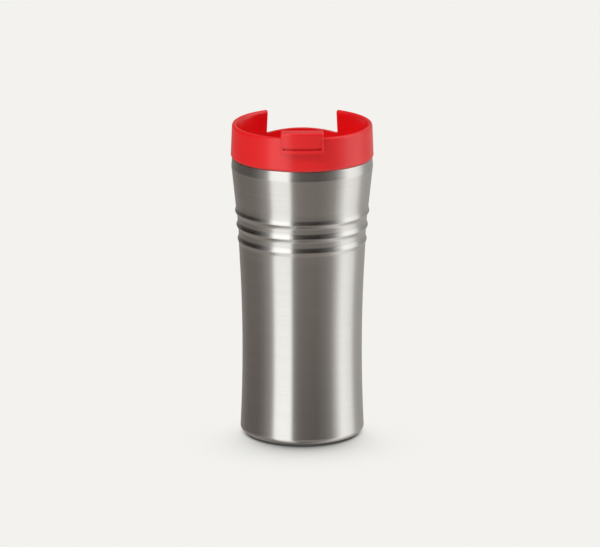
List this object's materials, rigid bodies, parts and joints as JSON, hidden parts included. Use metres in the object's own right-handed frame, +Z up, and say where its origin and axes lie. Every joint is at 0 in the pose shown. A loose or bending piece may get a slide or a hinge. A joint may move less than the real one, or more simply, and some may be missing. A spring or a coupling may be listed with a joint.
{
  "type": "insulated travel mug",
  "caption": "Waisted double-walled steel travel mug with raised beads, a screw-in lid with an open-backed rim, and a flip lever hooked over the front.",
  "frame": {"origin": "centre of the foot pad's tread, on the surface the mug stands on", "axes": "+Z up along the mug's axis; -Y is the front, where the lever hooks over the rim; +X is to the right seen from the front"},
  "size_m": [0.0834, 0.0862, 0.1902],
  "materials": {
    "brushed_shell": "brushed round the body, satin",
    "bare_steel": "plain drawn steel",
    "foil": "bright foil",
    "solder": "dull bead",
    "foot_silicone": "matt silicone",
    "lid_plastic": "satin moulded polypropylene",
    "plug_plastic": "matt moulded polypropylene",
    "foam": "closed-cell foam",
    "seal_silicone": "translucent grey silicone",
    "lever_plastic": "satin moulded polypropylene"
  },
  "bodies": {
    "mug": {"outer_shell": "brushed_shell", "inner_liner": "bare_steel", "liner_bottom": "bare_steel", "heat_foil": "foil", "getter_capsule": "bare_steel", "base_plate": "bare_steel", "evacuation_seal": "solder", "foot_pad": "foot_silicone"},
    "gasket": {"lip_gasket": "seal_silicone"},
    "lid": {"lid_shell": "lid_plastic", "lid_plug": "plug_plastic", "lid_insulation": "foam", "hinge_pin": "bare_steel"},
    "lever": {"lever": "lever_plastic", "drink_stopper": "seal_silicone", "vent_stopper": "seal_silicone"}
  },
  "joints": [
    {"name": "lid_rise", "type": "slide", "parent": "mug", "child": "gasket", "axis": [0, 0, 1], "range_m": [0, 0.018]},
    {"name": "lid_turn", "type": "hinge", "parent": "gasket", "child": "lid", "pos_m": [0, 0, 0.16675], "axis": [0, 0, 1], "range_deg": [0, 1090]},
    {"name": "lever_flip", "type": "hinge", "parent": "lid", "child": "lever", "pos_m": [0, 0.005, 0.175], "axis": [-1, 0, 0], "range_deg": [0, 175]}
  ],
  "couplings": [
    {"joint": "lid_turn", "follows": "lid_rise", "rad_per_m": 1047.2}
  ]
}
